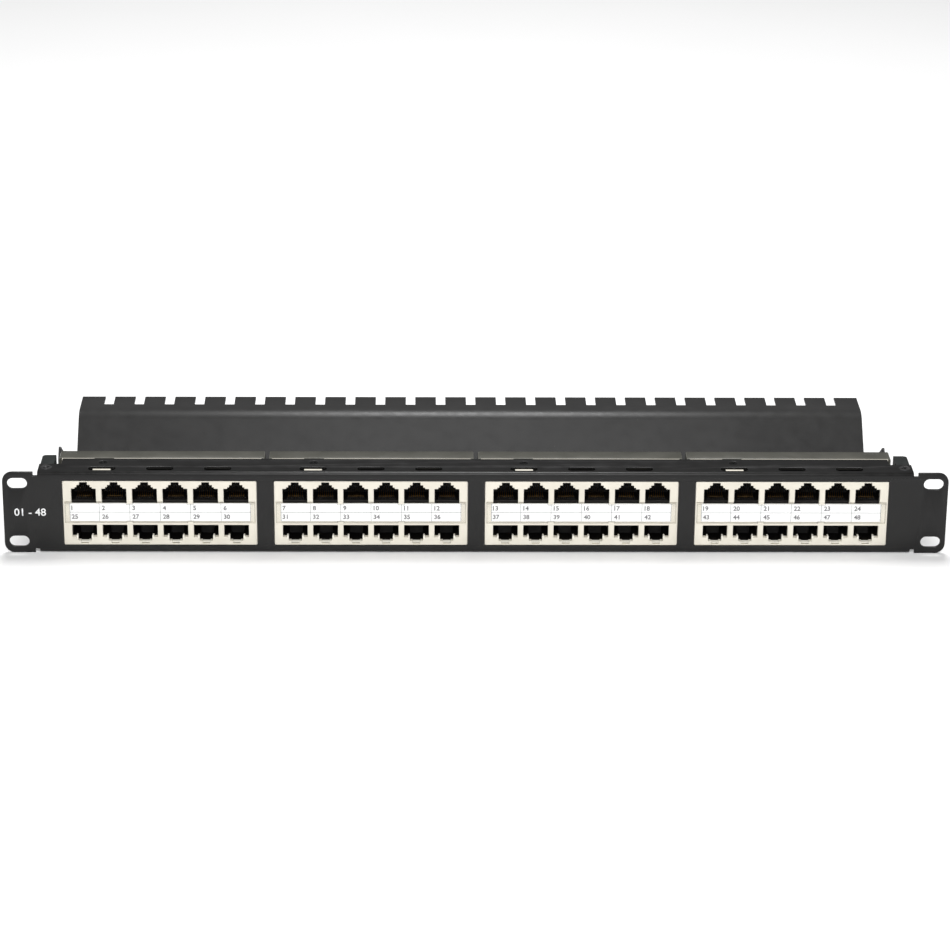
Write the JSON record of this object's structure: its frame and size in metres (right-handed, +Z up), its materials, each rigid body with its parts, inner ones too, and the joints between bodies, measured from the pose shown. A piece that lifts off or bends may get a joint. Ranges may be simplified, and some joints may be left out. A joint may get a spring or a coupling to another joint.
{
  "type": "rack patch panel",
  "caption": "Rack patch panel: rows of modular sockets in cream bezels behind a folded black face, with punch-down rows, dust covers and a toothed cable tray at the rear.",
  "frame": {"origin": "on the bottom plane, under the middle of the width and of the depth", "axes": "+X to the right seen from the front, +Y from the face towards the rear cable tray, +Z up"},
  "size_m": [0.481, 0.1102, 0.044],
  "materials": {
    "panel_paint": "fine black powder coat, satin",
    "bracket_paint": "thin dark grey-green paint, satin",
    "cream_plastic": "moulded cream, semi-matte",
    "black_plastic": "moulded black, semi-matte",
    "board_green": "green solder mask on glass laminate",
    "smoke_plastic": "translucent smoke grey, satin",
    "label_paper": "white card with grey print",
    "clear_plastic": "clear, polished",
    "black_screw": "black zinc plate",
    "pin_steel": "zinc-plated steel",
    "contact_gold": "gold-plated contact wire",
    "print_grey": "grey and white printing ink"
  },
  "bodies": {
    "panel": {"front_panel": "panel_paint", "jack_bezel_1": "cream_plastic", "jack_row_upper_1": "black_plastic", "jack_row_lower_1": "black_plastic", "circuit_board_1": "board_green", "idc_row_upper_1": "cream_plastic", "idc_row_lower_1": "cream_plastic", "dust_cover_1": "smoke_plastic", "module_screw_top_1": "black_screw", "module_screw_bottom_1": "black_screw", "jack_bezel_2": "cream_plastic", "jack_row_upper_2": "black_plastic", "jack_row_lower_2": "black_plastic", "circuit_board_2": "board_green", "idc_row_upper_2": "cream_plastic", "idc_row_lower_2": "cream_plastic", "dust_cover_2": "smoke_plastic", "module_screw_top_2": "black_screw", "module_screw_bottom_2": "black_screw", "jack_bezel_3": "cream_plastic", "jack_row_upper_3": "black_plastic", "jack_row_lower_3": "black_plastic", "circuit_board_3": "board_green", "idc_row_upper_3": "cream_plastic", "idc_row_lower_3": "cream_plastic", "dust_cover_3": "smoke_plastic", "module_screw_top_3": "black_screw", "module_screw_bottom_3": "black_screw", "jack_bezel_4": "cream_plastic", "jack_row_upper_4": "black_plastic", "jack_row_lower_4": "black_plastic", "circuit_board_4": "board_green", "idc_row_upper_4": "cream_plastic", "idc_row_lower_4": "cream_plastic", "dust_cover_4": "smoke_plastic", "module_screw_top_4": "black_screw", "module_screw_bottom_4": "black_screw", "side_bracket_left": "bracket_paint", "tray_pin_left": "pin_steel", "bracket_screw_left_top": "black_screw", "bracket_screw_left_bottom": "black_screw", "side_bracket_right": "bracket_paint", "tray_pin_right": "pin_steel", "bracket_screw_right_top": "black_screw", "bracket_screw_right_bottom": "black_screw"},
    "label_1": {"label_card_1": "label_paper", "label_window_1": "clear_plastic"},
    "label_2": {"label_card_2": "label_paper", "label_window_2": "clear_plastic"},
    "label_3": {"label_card_3": "label_paper", "label_window_3": "clear_plastic"},
    "label_4": {"label_card_4": "label_paper", "label_window_4": "clear_plastic"},
    "tray": {"cable_tray": "panel_paint"}
  },
  "joints": [
    {"name": "label_1_pull", "type": "slide", "parent": "panel", "child": "label_1", "axis": [0, -1, 0], "range_m": [0, 0.012]},
    {"name": "label_2_pull", "type": "slide", "parent": "panel", "child": "label_2", "axis": [0, -1, 0], "range_m": [0, 0.012]},
    {"name": "label_3_pull", "type": "slide", "parent": "panel", "child": "label_3", "axis": [0, -1, 0], "range_m": [0, 0.012]},
    {"name": "label_4_pull", "type": "slide", "parent": "panel", "child": "label_4", "axis": [0, -1, 0], "range_m": [0, 0.012]},
    {"name": "tray_pull", "type": "slide", "parent": "panel", "child": "tray", "axis": [0, 1, 0], "range_m": [0, 0.05]}
  ]
}
